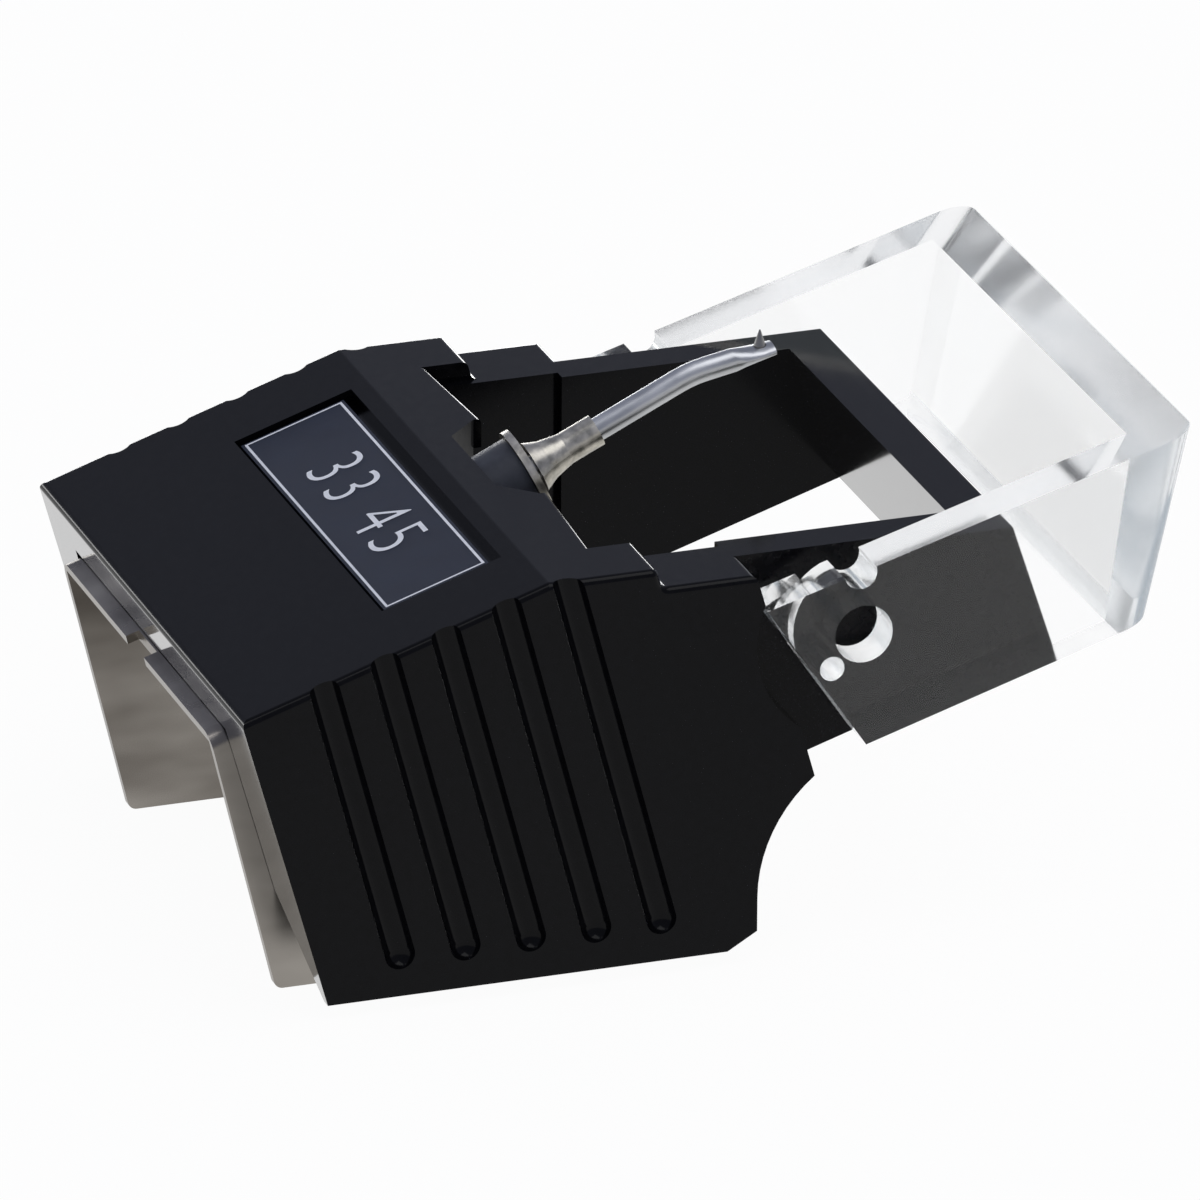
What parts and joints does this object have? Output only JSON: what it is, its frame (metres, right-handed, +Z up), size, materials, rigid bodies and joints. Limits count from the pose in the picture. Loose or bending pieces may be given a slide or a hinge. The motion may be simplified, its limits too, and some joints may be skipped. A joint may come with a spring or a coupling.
{
  "type": "turntable stylus",
  "caption": "Replacement turntable stylus: black ribbed slide-on grip with a folded steel channel, a bent cantilever carrying a diamond, and a clear guard that flips over it.",
  "frame": {"origin": "on the plane it rests on, under the middle of the whole part's length and width", "axes": "+Y forward from the grip to the guard, +Z up the way the diamond points, +X across"},
  "size_m": [0.017, 0.0258, 0.0138],
  "materials": {
    "black_plastic": "satin moulded black",
    "label": "dark printed plate",
    "sheet_steel": "plain rolled sheet",
    "clear_plastic": "clear polished",
    "dark_steel": "blackened",
    "nickel": "bright nickel",
    "rubber": "soft black",
    "brass": "turned",
    "aluminium": "drawn tube",
    "magnet": "ground",
    "diamond": "ground diamond"
  },
  "bodies": {
    "base": {"housing": "black_plastic", "label_plate": "label", "shield_channel": "sheet_steel", "carrier_tube": "dark_steel", "carrier_flange": "nickel", "wire_plug": "brass", "suspension_wire": "dark_steel"},
    "guard": {"guard": "clear_plastic"},
    "damper": {"damper_ring": "rubber"},
    "cantilever": {"cantilever_tube": "aluminium", "collar": "nickel", "magnet": "magnet", "diamond_tip": "diamond"}
  },
  "joints": [
    {"name": "guard_hinge", "type": "hinge", "parent": "base", "child": "guard", "pos_m": [0, 0.00387, 0.00873], "axis": [1, 0, 0], "range_deg": [0, 95]},
    {"name": "cantilever_yaw", "type": "hinge", "parent": "base", "child": "damper", "pos_m": [0, -0.00262, 0.01054], "axis": [0, -0.4352, 0.9003], "range_deg": [-3, 3], "stiffness_Nm_per_rad": 0.004},
    {"name": "cantilever_pitch", "type": "hinge", "parent": "damper", "child": "cantilever", "pos_m": [0, -0.00262, 0.01054], "axis": [1, 0, 0], "range_deg": [-3, 3], "stiffness_Nm_per_rad": 0.004}
  ]
}
